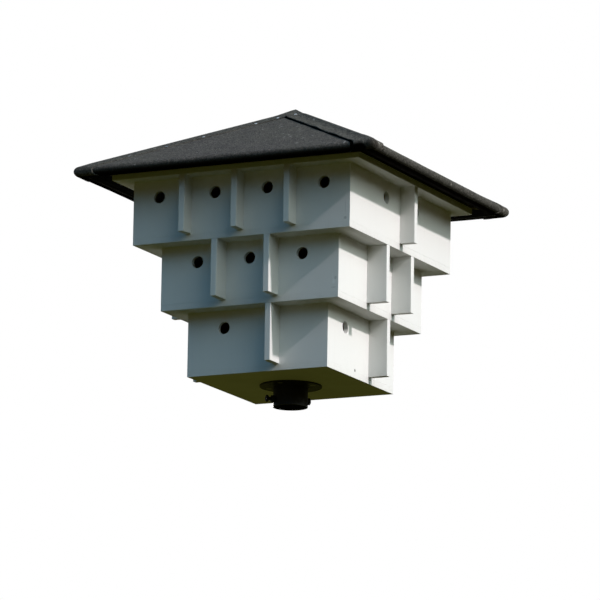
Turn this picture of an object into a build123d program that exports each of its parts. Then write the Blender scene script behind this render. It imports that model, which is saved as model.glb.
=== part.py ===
from build123d import *
import math
import os

# A nest box for a colony of sparrows, made to stand on top of a steel pole.
# Three square tiers of nest chambers widen upwards under a hipped felt roof.
# All sizes are in millimetres. The origin is the middle of the pole socket's
# mouth, +Z is up, and the front faces -Y.

os.makedirs("parts", exist_ok=True)

# Boards
PANEL = 12.0  # thickness of the wall panels and the chamber dividers
BOARD = 18.0  # thickness of the floors and the soffit board
FIN = 18.0  # thickness of the privacy fins between the entrance holes
FIN_EASE = 1.2  # chamfer on the outer corners of a fin
SLOT_CLEARANCE = 0.3  # gap on each side of a board in its halving slot

# Tiers
TIER_HEIGHT = 175.0  # from one floor's underside to the next
BOTTOM_WIDTH = 420.0
BOTTOM_FIN_DEPTH = 56.0  # the middle tier steps out over the bottom fins
MIDDLE_FIN_DEPTH = 59.0  # and the top tier over the middle ones
TOP_FIN_DEPTH = 44.5  # and the soffit board over the top ones
MIDDLE_WIDTH = BOTTOM_WIDTH + 2 * BOTTOM_FIN_DEPTH
TOP_WIDTH = MIDDLE_WIDTH + 2 * MIDDLE_FIN_DEPTH
ROOM_HEIGHT = TIER_HEIGHT - BOARD

# Nest chambers and their entrances
CELL = 157.0  # spacing of the dividers in the two upper tiers
CORE_HALF = 57.5  # from the middle to each divider of the bottom tier
HOLE_DIAMETER = 34.0
HOLE_HEIGHT = ROOM_HEIGHT - 47.0  # from the floor's top to the middle of a hole
TOP_OUTER_HOLE = TOP_WIDTH / 2 - 78.0  # from the middle of the face, as are the rest
TOP_INNER_HOLE = CELL / 2
TOP_SIDE_HOLE = CELL / 2 + 18.5
MIDDLE_OUTER_HOLE = MIDDLE_WIDTH / 2 - 109.0
BOTTOM_HOLE = BOTTOM_WIDTH / 2 - 109.0

# Pole socket, flange and clamp screws
SOCKET_LENGTH = 56.0
SOCKET_BORE_RADIUS = 44.5
SOCKET_WALL = 3.0
FLANGE_RADIUS = 85.0
FLANGE_THICKNESS = 4.0
FLANGE_SCREW_RADIUS = 4.0
FLANGE_SCREW_HEAD = 8.0
FLANGE_SCREW_LENGTH = 20.0
FLANGE_SCREW_COUNT = 4
CLAMP_HEIGHT = 20.0  # from the mouth to the axis of the clamp screws
CLAMP_RADIUS = 5.0
CLAMP_REACH = 85.0  # how far out the clamp screws' holes are drilled
CLAMP_SCREW_LENGTH = 19.6  # under the head
SET_SCREW_LENGTH = 10.0
THREAD_CLEARANCE = 0.05  # radial, between a screw and its hole
HEX_FLATS = 17.0
HEAD_HEIGHT = 6.4
NUT_HEIGHT = 8.5
SCREW_CHAMFER = 1.0
KEY_FLATS = 5.0
KEY_DEPTH = 5.0
TIP_SETBACK = 0.5  # from the bore's wall to a backed-off screw's tip

# Wood screws at the corners of the walls
SCREW_RADIUS = 1.75
SCREW_HEAD = 3.5
SCREW_LENGTH = 32.0
SCREW_END_DISTANCE = 26.5  # from a wall's lower and upper edges

# Roof
PITCH = 26.25  # degrees
EAVE_OVERHANG = 78.5  # from the soffit board's edge to the tip of the rounded eave
ROLL_RADIUS = 12.5  # outside of the felt where it turns under the eave
ROLL_RISE = 15.2  # from the soffit board's underside to the roll's middle
FELT = 3.5
FELT_RETURN_WIDTH = 14.0  # of the felt turned back flat under the eave
DECK = 12.0
DECK_SETBACK = 3.0  # from the roll's middle to the deck board's edge
RAIL_WIDTH = 33.0  # from the roll's middle to the rail's inner face
RAFTER = 18.0
KING_POST = 40.0
CAP = 2.0  # thickness of the felt strips over the hips
CAP_LEG = 48.0  # width of a strip on each slope
NAIL_RADIUS = 1.25
NAIL_HEAD_RADIUS = 4.0
NAIL_HEAD_HEIGHT = 1.0
NAIL_LENGTH = 16.0
NAIL_OFFSET = 40.0  # from a slope's left hip
NAIL_RUN = (72.0, 139.0, 297.0, 408.0, 520.0)  # down the left hip
TOP_NAIL_OFFSET = 17.5  # from a slope's right hip
TOP_NAIL_RUN = 54.0  # down the right hip

SIDES = ("front", "right", "back", "left")
WIDTH = {"bottom": BOTTOM_WIDTH, "middle": MIDDLE_WIDTH, "top": TOP_WIDTH}
ORDER = ("bottom", "middle", "top")
QUARTER = 90.0

# Levels and outlines worked out from the sizes above
BOTTOM_UNDERSIDE = SOCKET_LENGTH + FLANGE_THICKNESS
SOFFIT_UNDERSIDE = BOTTOM_UNDERSIDE + len(ORDER) * TIER_HEIGHT
SOFFIT_HALF = TOP_WIDTH / 2 + TOP_FIN_DEPTH
EAVE_HALF = SOFFIT_HALF + EAVE_OVERHANG
FIN_DEPTH = {"bottom": BOTTOM_FIN_DEPTH, "middle": MIDDLE_FIN_DEPTH, "top": TOP_FIN_DEPTH}
FACE_HOLES = {
    "bottom": {side: (-BOTTOM_HOLE,) for side in SIDES},
    "middle": {
        "front": (-MIDDLE_OUTER_HOLE, 0.0, MIDDLE_OUTER_HOLE),
        "right": (0.0,),
        "back": (-MIDDLE_OUTER_HOLE, 0.0, MIDDLE_OUTER_HOLE),
        "left": (0.0,),
    },
    "top": {
        "front": (-TOP_OUTER_HOLE, -TOP_INNER_HOLE, TOP_INNER_HOLE, TOP_OUTER_HOLE),
        "right": (-TOP_SIDE_HOLE, TOP_SIDE_HOLE),
        "back": (-TOP_OUTER_HOLE, -TOP_INNER_HOLE, TOP_INNER_HOLE, TOP_OUTER_HOLE),
        "left": (-TOP_SIDE_HOLE, TOP_SIDE_HOLE),
    },
}
FACE_FINS = {
    "bottom": {side: (CORE_HALF,) for side in SIDES},
    "middle": {side: (-CELL / 2, CELL / 2) for side in SIDES},
    "top": {"front": (-CELL, 0.0, CELL), "right": (0.0,), "back": (-CELL, 0.0, CELL), "left": (0.0,)},
}
TIE_OFFSET = {"middle": CELL / 2, "top": CELL}

SCREW_HEIGHTS = (SCREW_END_DISTANCE, ROOM_HEIGHT - SCREW_END_DISTANCE)  # above the floor's top

SOCKET_OUTER_RADIUS = SOCKET_BORE_RADIUS + SOCKET_WALL
FLANGE_SCREW_RING = (SOCKET_OUTER_RADIUS + FLANGE_RADIUS) / 2
CLAMP_TIP = SOCKET_BORE_RADIUS + TIP_SETBACK
NUT_FACE = SOCKET_OUTER_RADIUS + NUT_HEIGHT

SLOPE = math.radians(PITCH)
ROLL_MIDDLE = EAVE_HALF - ROLL_RADIUS
FELT_RETURN = ROLL_MIDDLE - FELT_RETURN_WIDTH
DECK_EDGE = ROLL_MIDDLE - DECK_SETBACK
RAIL_INSIDE = ROLL_MIDDLE - RAIL_WIDTH
ROLL_HEIGHT = SOFFIT_UNDERSIDE + ROLL_RISE
RAIL_NOSE = ROLL_RADIUS - FELT
APEX = ROLL_HEIGHT + (ROLL_RADIUS + ROLL_MIDDLE * math.sin(SLOPE)) / math.cos(SLOPE)
ROOF_REACH = EAVE_HALF + ROLL_RADIUS
ROOF_TOP = APEX + ROLL_RADIUS


def save(piece, name):
    """Name a finished piece and write it out."""
    piece.part.label = name
    export_step(piece.part, f"parts/{name}.step")


def turned(side):
    """The turn about Z that carries the front onto a side."""
    return Location((0, 0, 0), (0, 0, QUARTER * SIDES.index(side)))


def on_side(side, front):
    """A plane made for the front, carried onto a side."""
    return Plane(turned(side) * front.location)


def floor_underside(tier):
    return BOTTOM_UNDERSIDE + ORDER.index(tier) * TIER_HEIGHT


def room_floor(tier):
    return floor_underside(tier) + BOARD


def face_plane(tier, side):
    """On a wall's outer face: x to the right as seen from outside, y up."""
    front = Plane((0, -WIDTH[tier] / 2, room_floor(tier)), x_dir=(1, 0, 0), z_dir=(0, -1, 0))
    return on_side(side, front)


def room_plane(tier, side, rise=0.0):
    """Level with a tier's floor, turned so that the side lies towards -y."""
    return on_side(side, Plane.XY.offset(room_floor(tier) + rise))


def has_end_edges(side):
    """The left and right walls cover the ends of the front and back ones."""
    return side in ("left", "right")


# Floors

with BuildPart() as bottom_floor:
    with BuildSketch(Plane.XY.offset(floor_underside("bottom"))):
        Rectangle(BOTTOM_WIDTH, BOTTOM_WIDTH)
    extrude(amount=BOARD)
    with BuildSketch(Plane.XY.offset(floor_underside("bottom"))):
        with PolarLocations(FLANGE_SCREW_RING, FLANGE_SCREW_COUNT):
            Circle(FLANGE_SCREW_RADIUS + THREAD_CLEARANCE)
    extrude(amount=FLANGE_SCREW_LENGTH - FLANGE_THICKNESS, mode=Mode.SUBTRACT)
save(bottom_floor, "bottom_floor")

for tier in ("middle", "top"):
    with BuildPart() as upper_floor:
        with BuildSketch(Plane.XY.offset(floor_underside(tier))):
            Rectangle(WIDTH[tier], WIDTH[tier])
        extrude(amount=BOARD)
    save(upper_floor, f"{tier}_floor")

with BuildPart() as soffit_board:
    with BuildSketch(Plane.XY.offset(SOFFIT_UNDERSIDE)):
        Rectangle(2 * SOFFIT_HALF, 2 * SOFFIT_HALF)
    extrude(amount=BOARD)
save(soffit_board, "soffit_board")


# Walls

for tier in ORDER:
    for side in SIDES:
        outside = face_plane(tier, side)
        covers_ends = has_end_edges(side)
        length = WIDTH[tier] if covers_ends else WIDTH[tier] - 2 * PANEL
        screw_line = WIDTH[tier] / 2 - PANEL / 2
        with BuildPart() as wall:
            with BuildSketch(outside):
                with Locations((0, ROOM_HEIGHT / 2)):
                    Rectangle(length, ROOM_HEIGHT)
                with Locations(*[(across, HOLE_HEIGHT) for across in FACE_HOLES[tier][side]]):
                    Circle(HOLE_DIAMETER / 2, mode=Mode.SUBTRACT)
            extrude(amount=-PANEL)
            if covers_ends:
                spots = [(end * screw_line, height) for end in (-1, 1) for height in SCREW_HEIGHTS]
                with Locations(outside):
                    with Locations(*spots):
                        CounterSinkHole(
                            SCREW_RADIUS + THREAD_CLEARANCE,
                            SCREW_HEAD + THREAD_CLEARANCE,
                            depth=PANEL,
                            counter_sink_angle=90,
                        )
            else:
                for end in (-1, 1):
                    edge = Plane(
                        outside.from_local_coords((end * length / 2, 0, -PANEL / 2)),
                        x_dir=outside.z_dir,
                        z_dir=outside.x_dir * end,
                    )
                    rises = [(0, height * edge.y_dir.Z) for height in SCREW_HEIGHTS]
                    with BuildSketch(edge):
                        with Locations(*rises):
                            Circle(SCREW_RADIUS + THREAD_CLEARANCE)
                    extrude(amount=PANEL - SCREW_LENGTH, mode=Mode.SUBTRACT)
        save(wall, f"{tier}_{side}_panel")


# Wood screws through the left and right walls

with BuildPart() as panel_screw:
    with BuildSketch(Plane.XZ):
        with BuildLine():
            Polyline(
                (0, 0),
                (SCREW_HEAD, 0),
                (SCREW_RADIUS, SCREW_RADIUS - SCREW_HEAD),
                (SCREW_RADIUS, SCREW_RADIUS - SCREW_LENGTH),
                (0, -SCREW_LENGTH),
                close=True,
            )
        make_face()
    revolve(axis=Axis.Z)

with BuildPart() as panel_screws:
    for tier in ORDER:
        for side in SIDES:
            if has_end_edges(side):
                screw_line = WIDTH[tier] / 2 - PANEL / 2
                spots = [(end * screw_line, height) for end in (-1, 1) for height in SCREW_HEIGHTS]
                with Locations(face_plane(tier, side)):
                    with Locations(*spots):
                        add(panel_screw.part)
save(panel_screws, "panel_screws")


# Privacy fins, one node for each tier

for tier in ORDER:
    reach = WIDTH[tier] / 2 + FIN_DEPTH[tier]
    with BuildPart() as fins:
        for side in SIDES:
            with BuildSketch(face_plane(tier, side)):
                with Locations(*[(across, ROOM_HEIGHT / 2) for across in FACE_FINS[tier][side]]):
                    Rectangle(FIN, ROOM_HEIGHT)
        extrude(amount=FIN_DEPTH[tier])
        outer_edges = fins.edges().filter_by(Axis.Z).filter_by(
            lambda edge: max(abs(edge.center().X), abs(edge.center().Y)) > reach - FIN_EASE
        )
        chamfer(outer_edges, length=FIN_EASE)
    save(fins, f"{tier}_fins")


# Dividers between the chambers

for tier in ("middle", "top"):
    inside = WIDTH[tier] - 2 * PANEL
    line = TIE_OFFSET[tier]
    for side in SIDES:
        slot_rise = ROOM_HEIGHT / 2 if has_end_edges(side) else 0.0
        with BuildPart() as divider:
            with BuildSketch(room_plane(tier, side)):
                with Locations((0, -line)):
                    Rectangle(inside, PANEL)
            extrude(amount=ROOM_HEIGHT)
            with BuildSketch(room_plane(tier, side, slot_rise)):
                with Locations((-line, -line), (line, -line)):
                    Rectangle(PANEL + 2 * SLOT_CLEARANCE, 2 * PANEL)
            extrude(amount=ROOM_HEIGHT / 2, mode=Mode.SUBTRACT)
        save(divider, f"{tier}_{side}_divider")

with BuildPart() as top_short_dividers:
    short_end = TOP_WIDTH / 2 - PANEL
    short_start = CELL + PANEL / 2
    for side in SIDES:
        with BuildSketch(room_plane("top", side)):
            with Locations((0, -(short_start + short_end) / 2)):
                Rectangle(PANEL, short_end - short_start)
    extrude(amount=ROOM_HEIGHT)
save(top_short_dividers, "top_short_dividers")

for side in SIDES:
    with BuildPart() as divider:
        wall_end = -(BOTTOM_WIDTH / 2 - PANEL)
        far_end = CORE_HALF - PANEL / 2
        with BuildSketch(room_plane("bottom", side)):
            with Locations((CORE_HALF, (wall_end + far_end) / 2)):
                Rectangle(PANEL, far_end - wall_end)
        extrude(amount=ROOM_HEIGHT)
    save(divider, f"bottom_{side}_divider")


# Roof profiles: outward distance from the middle, and height


def slope_height(outward, below=0.0):
    """Height of the plane that lies `below` under the felt's outer face."""
    return APEX - below / math.cos(SLOPE) - outward * math.tan(SLOPE)


def roof_point(outward, below=0.0):
    return (-outward, slope_height(outward, below))


def roll_point(radius):
    """Where a slope runs into the eave's round nose."""
    return (-ROLL_MIDDLE - radius * math.sin(SLOPE), ROLL_HEIGHT + radius * math.cos(SLOPE))


ROLL_CENTRE = (-ROLL_MIDDLE, ROLL_HEIGHT)
ROLL_START = QUARTER + PITCH
ROLL_SWEEP = 2 * QUARTER - PITCH
HALF_TURN_END = ROLL_START + ROLL_SWEEP
quarter_plan = [(0, 0), (-ROOF_REACH, -ROOF_REACH), (ROOF_REACH, -ROOF_REACH)]

HIP_RATIO = 1 / math.cos(SLOPE)
HIP_LENGTH = math.hypot(1, HIP_RATIO)
front_slope = Plane(
    (0, 0, APEX), x_dir=(1, 0, 0), z_dir=(0, -math.sin(SLOPE), math.cos(SLOPE))
)


def nail_spot(run, offset, hand):
    """On the front slope, beside its right (hand 1) or left (hand -1) hip."""
    across = (run - offset * HIP_RATIO) / HIP_LENGTH
    down = (run * HIP_RATIO + offset) / HIP_LENGTH
    return (hand * across, -down)


LEFT_NAILS = [nail_spot(run, NAIL_OFFSET, -1) for run in NAIL_RUN]
TOP_NAIL = nail_spot(TOP_NAIL_RUN, TOP_NAIL_OFFSET, 1)
NAIL_SPOTS = [*LEFT_NAILS, TOP_NAIL]
NAIL_HOLE = NAIL_RADIUS + THREAD_CLEARANCE


# Deck boards, eave rails and felt: the front one, then the other three

with BuildPart() as front_roof_board:
    with BuildSketch(Plane.YZ):
        with BuildLine():
            Polyline(
                roof_point(0, FELT),
                roof_point(DECK_EDGE, FELT),
                roof_point(DECK_EDGE, FELT + DECK),
                roof_point(0, FELT + DECK),
                close=True,
            )
        make_face()
    extrude(amount=ROOF_REACH, both=True)
    with BuildSketch(Plane.XY):
        Polygon(*quarter_plan, align=None)
    extrude(amount=ROOF_TOP, mode=Mode.INTERSECT)
    with Locations(front_slope):
        with Locations(*NAIL_SPOTS):
            Hole(NAIL_HOLE, depth=NAIL_LENGTH - CAP)

with BuildPart() as front_eave_rail:
    with BuildSketch(Plane.YZ):
        with BuildLine():
            CenterArc(ROLL_CENTRE, RAIL_NOSE, ROLL_START, ROLL_SWEEP)
            Polyline(
                (-ROLL_MIDDLE, ROLL_HEIGHT - RAIL_NOSE),
                (-RAIL_INSIDE, ROLL_HEIGHT - RAIL_NOSE),
                roof_point(RAIL_INSIDE, FELT + DECK),
                roof_point(DECK_EDGE, FELT + DECK),
                roof_point(DECK_EDGE, FELT),
                roll_point(RAIL_NOSE),
            )
        make_face()
    extrude(amount=ROOF_REACH, both=True)
    with BuildSketch(Plane.XY):
        Polygon(*quarter_plan, align=None)
    extrude(amount=ROOF_TOP, mode=Mode.INTERSECT)

with BuildPart() as front_felt:
    with BuildSketch(Plane.YZ):
        with BuildLine():
            Line(roof_point(0), roll_point(ROLL_RADIUS))
            CenterArc(ROLL_CENTRE, ROLL_RADIUS, ROLL_START, ROLL_SWEEP)
            Polyline(
                (-ROLL_MIDDLE, ROLL_HEIGHT - ROLL_RADIUS),
                (-FELT_RETURN, ROLL_HEIGHT - ROLL_RADIUS),
                (-FELT_RETURN, ROLL_HEIGHT - RAIL_NOSE),
                (-ROLL_MIDDLE, ROLL_HEIGHT - RAIL_NOSE),
            )
            CenterArc(ROLL_CENTRE, RAIL_NOSE, HALF_TURN_END, -ROLL_SWEEP)
            Polyline(roll_point(RAIL_NOSE), roof_point(0, FELT), roof_point(0))
        make_face()
    extrude(amount=ROOF_REACH, both=True)
    with BuildSketch(Plane.XY):
        Polygon(*quarter_plan, align=None)
    extrude(amount=ROOF_TOP, mode=Mode.INTERSECT)
    with Locations(front_slope):
        with Locations(*NAIL_SPOTS):
            Hole(NAIL_HOLE, depth=2 * FELT)

for name, front_piece in (
    ("roof_board", front_roof_board),
    ("eave_rail", front_eave_rail),
    ("felt", front_felt),
):
    for side in SIDES:
        with BuildPart() as roof_piece:
            add(turned(side) * front_piece.part)
        save(roof_piece, f"{side}_{name}")


# Felt strips over the hips, folded down over the corners of the eave

cap_shift = CAP_LEG * HIP_LENGTH / HIP_RATIO
with BuildPart() as cap_wing:
    with BuildSketch(Plane.YZ):
        with BuildLine():
            Line(roof_point(0), roll_point(ROLL_RADIUS))
            CenterArc(ROLL_CENTRE, ROLL_RADIUS, ROLL_START, ROLL_SWEEP)
            Line(
                (-ROLL_MIDDLE, ROLL_HEIGHT - ROLL_RADIUS),
                (-ROLL_MIDDLE, ROLL_HEIGHT - ROLL_RADIUS - CAP),
            )
            CenterArc(ROLL_CENTRE, ROLL_RADIUS + CAP, HALF_TURN_END, -ROLL_SWEEP)
            Polyline(roll_point(ROLL_RADIUS + CAP), roof_point(0, -CAP), roof_point(0))
        make_face()
    extrude(amount=ROOF_REACH)
    with BuildSketch(Plane.XY):
        Polygon(
            (0, 0),
            (0, -cap_shift),
            (ROOF_REACH - cap_shift, -ROOF_REACH),
            (ROOF_REACH, -ROOF_REACH),
            align=None,
        )
    extrude(amount=ROOF_TOP, mode=Mode.INTERSECT)

other_wing = mirror(cap_wing.part, about=Plane.YZ)
with BuildPart() as front_right_cap:
    add(cap_wing.part)
    add(turned("right") * other_wing)
    with Locations(front_slope.offset(CAP)):
        with Locations(TOP_NAIL):
            Hole(NAIL_HOLE, depth=2 * CAP)
    with Locations(on_side("right", front_slope.offset(CAP))):
        with Locations(*LEFT_NAILS):
            Hole(NAIL_HOLE, depth=2 * CAP)

for side, corner in zip(SIDES, ("front_right", "back_right", "back_left", "front_left")):
    with BuildPart() as hip_cap:
        add(turned(side) * front_right_cap.part)
    save(hip_cap, f"{corner}_hip_cap")


# Clout nails

with BuildPart() as roof_nails:
    for side in SIDES:
        with Locations(on_side(side, front_slope.offset(CAP))):
            with Locations(*NAIL_SPOTS):
                Cylinder(NAIL_RADIUS, NAIL_LENGTH, align=(Align.CENTER, Align.CENTER, Align.MAX))
                Cylinder(
                    NAIL_HEAD_RADIUS, NAIL_HEAD_HEIGHT, align=(Align.CENTER, Align.CENTER, Align.MIN)
                )
save(roof_nails, "roof_nails")


# King post and hip rafters, which carry the deck above the soffit board

post_corner = KING_POST / math.sqrt(2)
with BuildPart() as king_post:
    with BuildSketch(Plane.XY.offset(SOFFIT_UNDERSIDE + BOARD)):
        Rectangle(KING_POST, KING_POST, rotation=QUARTER / 2)
    extrude(amount=slope_height(post_corner, FELT + DECK) - SOFFIT_UNDERSIDE - BOARD)
save(king_post, "king_post")

# A rafter's flat top touches the deck boards along its two upper edges
rafter_foot = SOFFIT_UNDERSIDE + BOARD
edge_shift = RAFTER / 2 / math.sqrt(2)
rafter_start = KING_POST / 2
rafter_end = RAIL_INSIDE * math.sqrt(2)


def rafter_top(along):
    """Height of a rafter's top at a distance along the hip's plan line."""
    return slope_height(along / math.sqrt(2) + edge_shift, FELT + DECK)


with BuildPart() as one_rafter:
    with BuildSketch(Plane.XZ):
        with BuildLine():
            Polyline(
                (rafter_start, rafter_foot),
                (rafter_end, rafter_foot),
                (rafter_end, rafter_top(rafter_end)),
                (rafter_start, rafter_top(rafter_start)),
                close=True,
            )
        make_face()
    extrude(amount=RAFTER / 2, both=True)

with BuildPart() as hip_rafters:
    for side in SIDES:
        add(turned(side) * Location((0, 0, 0), (0, 0, -QUARTER / 2)) * one_rafter.part)
    with BuildSketch(Plane.XY):
        Rectangle(2 * RAIL_INSIDE, 2 * RAIL_INSIDE)
    extrude(amount=ROOF_TOP, mode=Mode.INTERSECT)
save(hip_rafters, "hip_rafters")


# Flange plate, its screws and the pole socket

with BuildPart() as flange_plate:
    with BuildSketch(Plane.XY.offset(SOCKET_LENGTH)):
        Circle(FLANGE_RADIUS)
    extrude(amount=FLANGE_THICKNESS)
    with Locations(Plane((0, 0, SOCKET_LENGTH), x_dir=(1, 0, 0), z_dir=(0, 0, -1))):
        with PolarLocations(FLANGE_SCREW_RING, FLANGE_SCREW_COUNT):
            CounterSinkHole(
                FLANGE_SCREW_RADIUS + THREAD_CLEARANCE,
                FLANGE_SCREW_HEAD,
                depth=FLANGE_THICKNESS,
                counter_sink_angle=90,
            )
save(flange_plate, "flange_plate")

head_radius = FLANGE_SCREW_HEAD - 2 * THREAD_CLEARANCE
with BuildPart() as flange_screw:
    with BuildSketch(Plane.XZ):
        with BuildLine():
            Polyline(
                (0, SOCKET_LENGTH),
                (head_radius, SOCKET_LENGTH),
                (FLANGE_SCREW_RADIUS, SOCKET_LENGTH + head_radius - FLANGE_SCREW_RADIUS),
                (FLANGE_SCREW_RADIUS, SOCKET_LENGTH + FLANGE_SCREW_LENGTH - FLANGE_SCREW_RADIUS),
                (0, SOCKET_LENGTH + FLANGE_SCREW_LENGTH),
                close=True,
            )
        make_face()
    revolve(axis=Axis.Z)

with BuildPart() as flange_screws:
    with PolarLocations(FLANGE_SCREW_RING, FLANGE_SCREW_COUNT):
        add(flange_screw.part)
save(flange_screws, "flange_screws")

# The clamp screw points at the front left corner, the set screw opposite
clamp_plane = Plane((0, 0, CLAMP_HEIGHT), x_dir=(0, 0, 1), z_dir=(-1, -1, 0))
set_plane = Plane((0, 0, CLAMP_HEIGHT), x_dir=(0, 0, 1), z_dir=(1, 1, 0))
clamp_axis = Axis(clamp_plane.origin, clamp_plane.z_dir)

with BuildPart() as socket_tube:
    with BuildSketch(Plane.XY):
        Circle(SOCKET_OUTER_RADIUS)
        Circle(SOCKET_BORE_RADIUS, mode=Mode.SUBTRACT)
    extrude(amount=SOCKET_LENGTH)
    for plane in (clamp_plane, set_plane):
        with BuildSketch(plane):
            Circle(CLAMP_RADIUS + THREAD_CLEARANCE)
        extrude(amount=CLAMP_REACH, mode=Mode.SUBTRACT)
save(socket_tube, "socket_tube")

with BuildPart() as weld_nuts:
    for plane in (clamp_plane, set_plane):
        with BuildSketch(plane.offset(NUT_FACE)):
            RegularPolygon(HEX_FLATS / 2, 6, major_radius=False)
        extrude(amount=-2 * NUT_HEIGHT)
    with BuildSketch(Plane.XY):
        Circle(SOCKET_OUTER_RADIUS)
    extrude(amount=SOCKET_LENGTH, mode=Mode.SUBTRACT)
    for plane in (clamp_plane, set_plane):
        with BuildSketch(plane):
            Circle(CLAMP_RADIUS + THREAD_CLEARANCE)
        extrude(amount=CLAMP_REACH, mode=Mode.SUBTRACT)
save(weld_nuts, "weld_nuts")

with BuildPart() as clamp_screw:
    with BuildSketch(clamp_plane.offset(CLAMP_TIP)):
        Circle(CLAMP_RADIUS)
    extrude(amount=CLAMP_SCREW_LENGTH)
    tip_edge = clamp_screw.edges().filter_by(GeomType.CIRCLE).sort_by(clamp_axis)[0]
    chamfer(tip_edge, length=SCREW_CHAMFER)
    with BuildSketch(clamp_plane.offset(CLAMP_TIP + CLAMP_SCREW_LENGTH)):
        RegularPolygon(HEX_FLATS / 2, 6, major_radius=False)
    extrude(amount=HEAD_HEIGHT)
save(clamp_screw, "clamp_screw")

with BuildPart() as set_screw:
    with BuildSketch(set_plane.offset(CLAMP_TIP)):
        Circle(CLAMP_RADIUS)
    extrude(amount=SET_SCREW_LENGTH)
    with BuildSketch(set_plane.offset(CLAMP_TIP + SET_SCREW_LENGTH)):
        RegularPolygon(KEY_FLATS / 2, 6, major_radius=False)
    extrude(amount=-KEY_DEPTH, mode=Mode.SUBTRACT)
save(set_screw, "set_screw")
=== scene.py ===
"""Dresses a sparrow nest box tower: painted boards, mineral felt roof, black steel pole socket."""

import math

import bmesh
import bpy
from bpy.props import FloatProperty, FloatVectorProperty, PointerProperty
from bpy.types import Operator, Panel, PropertyGroup
from mathutils import Matrix, Vector, noise


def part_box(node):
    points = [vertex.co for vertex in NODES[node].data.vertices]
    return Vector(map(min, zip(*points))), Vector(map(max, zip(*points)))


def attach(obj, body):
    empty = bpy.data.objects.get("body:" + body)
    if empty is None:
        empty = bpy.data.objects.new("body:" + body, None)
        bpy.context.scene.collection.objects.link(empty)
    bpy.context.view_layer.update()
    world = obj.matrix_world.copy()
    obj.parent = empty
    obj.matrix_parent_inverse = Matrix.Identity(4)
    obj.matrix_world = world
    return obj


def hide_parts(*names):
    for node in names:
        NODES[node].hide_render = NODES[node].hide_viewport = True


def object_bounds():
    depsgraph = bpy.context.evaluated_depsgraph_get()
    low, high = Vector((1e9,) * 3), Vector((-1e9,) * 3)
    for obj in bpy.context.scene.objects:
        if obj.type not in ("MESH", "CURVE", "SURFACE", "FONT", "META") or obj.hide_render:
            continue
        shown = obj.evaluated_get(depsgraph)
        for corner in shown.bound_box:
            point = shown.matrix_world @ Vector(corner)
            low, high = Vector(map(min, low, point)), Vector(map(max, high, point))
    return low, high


bl_info = {
    "name": "Nest box tower",
    "version": (1, 0, 0),
    "blender": (4, 5, 0),
    "location": "3D View > Sidebar > Nest box",
    "description": "Gives the boards, the felt roof and the pole socket of a nest box tower their finish",
    "category": "Object",
}

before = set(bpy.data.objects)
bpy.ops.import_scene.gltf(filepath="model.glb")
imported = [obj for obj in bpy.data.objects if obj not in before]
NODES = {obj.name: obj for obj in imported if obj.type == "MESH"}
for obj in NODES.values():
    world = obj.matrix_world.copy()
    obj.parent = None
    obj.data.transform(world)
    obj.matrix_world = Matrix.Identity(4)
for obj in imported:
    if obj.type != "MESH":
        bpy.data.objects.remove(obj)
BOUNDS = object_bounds()

SIDES = ("front", "right", "back", "left")
CORNERS = ("front_right", "back_right", "back_left", "front_left")
TIERS = ("bottom", "middle", "top")
PAINTED = (
    [f"{tier}_floor" for tier in TIERS]
    + [f"{tier}_{side}_panel" for tier in TIERS for side in SIDES]
    + [f"{tier}_fins" for tier in TIERS]
    + ["soffit_board"]
)
BARE = (
    [f"{tier}_{side}_divider" for tier in TIERS for side in SIDES]
    + ["top_short_dividers", "king_post"]
)

LOWEST_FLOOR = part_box("bottom_floor")[0].z
TIER_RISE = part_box("middle_floor")[0].z - LOWEST_FLOOR
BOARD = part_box("bottom_floor")[1].z - LOWEST_FLOOR
ROOF_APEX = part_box("front_felt")[1].z
EAVE_TIP = -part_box("front_felt")[0].y
PLATE_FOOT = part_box("flange_plate")[0].z
SOCKET_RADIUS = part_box("socket_tube")[1].x

MM = 0.001
QUARTER = math.pi / 2
CREASE = math.radians(31)  # a sharper edge than this isn't smoothed
COPLANAR = math.radians(0.5)
SAME_PLACE = 0.001 * MM  # vertices this close are joined
FRAME_SEAM = 0.01 * MM  # and this close in the frame's own meshes

FELT_STEPS = 48  # down a slope
BEND_STEPS = 16  # round the eave
FELT_COLUMNS = 46  # on each side of a slope's middle
CROWDING = 1.5  # how much closer columns lie near a hip

STRIP_COLUMNS = 14  # on each side of the hip
NAILED_LIFT = 0.7 * MM  # of a strip's nailed edge
APEX_LAP = 3.8 * MM  # extra height where the strips lie over each other
APEX_LAP_LENGTH = 48 * MM
CUT_WANDER = 1.8 * MM  # of the knife
EAVE_TRIM = 4 * MM  # a strip is narrower round the eave
STRIP_CLEARANCE = 0.05 * MM

HEAD_FLATS = 17 * MM
HEAD_NECK = 6 * MM  # what lies nearer the axis is thread
HEAD_EDGE = 1.3 * MM
THREAD_COLUMNS = 28
THREAD_ROWS = 8  # in one turn
THREAD_DEPTH = 0.6  # share of the pitch
THREAD_FLANK = 2.2  # more than 2 leaves a flat crest
THREAD_LEAD = 1.2 * MM  # the thread runs out over this length at the tip
THREAD_FADE = 0.7
SIXTH = math.pi / 3

BEAD_STEPS = 180
BEAD_SIDES = 8
BEAD_RIPPLES = 58
BEAD_SQUEEZE = 0.9  # share of the bead's radius

# How much is taken off the edges of the painted steel
STEEL_EASES = (("flange_plate", 0.6 * MM), ("socket_tube", 0.5 * MM), ("weld_nuts", 0.7 * MM))

# How far each hip strip stands off its hip, lifts at its un-nailed edge, and bulges over the eave's corner
STAND_OFF = {"front_right": 2.6 * MM, "back_right": 1.2 * MM, "back_left": 1.7 * MM, "front_left": 0.2 * MM}
LOOSE = {"front_right": 4.2 * MM, "back_right": 1.4 * MM, "back_left": 1.8 * MM, "front_left": 1.2 * MM}
BULGE = {"front_right": 2.6 * MM, "back_right": 0.4 * MM, "back_left": 1.6 * MM, "front_left": 0.4 * MM}

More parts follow.
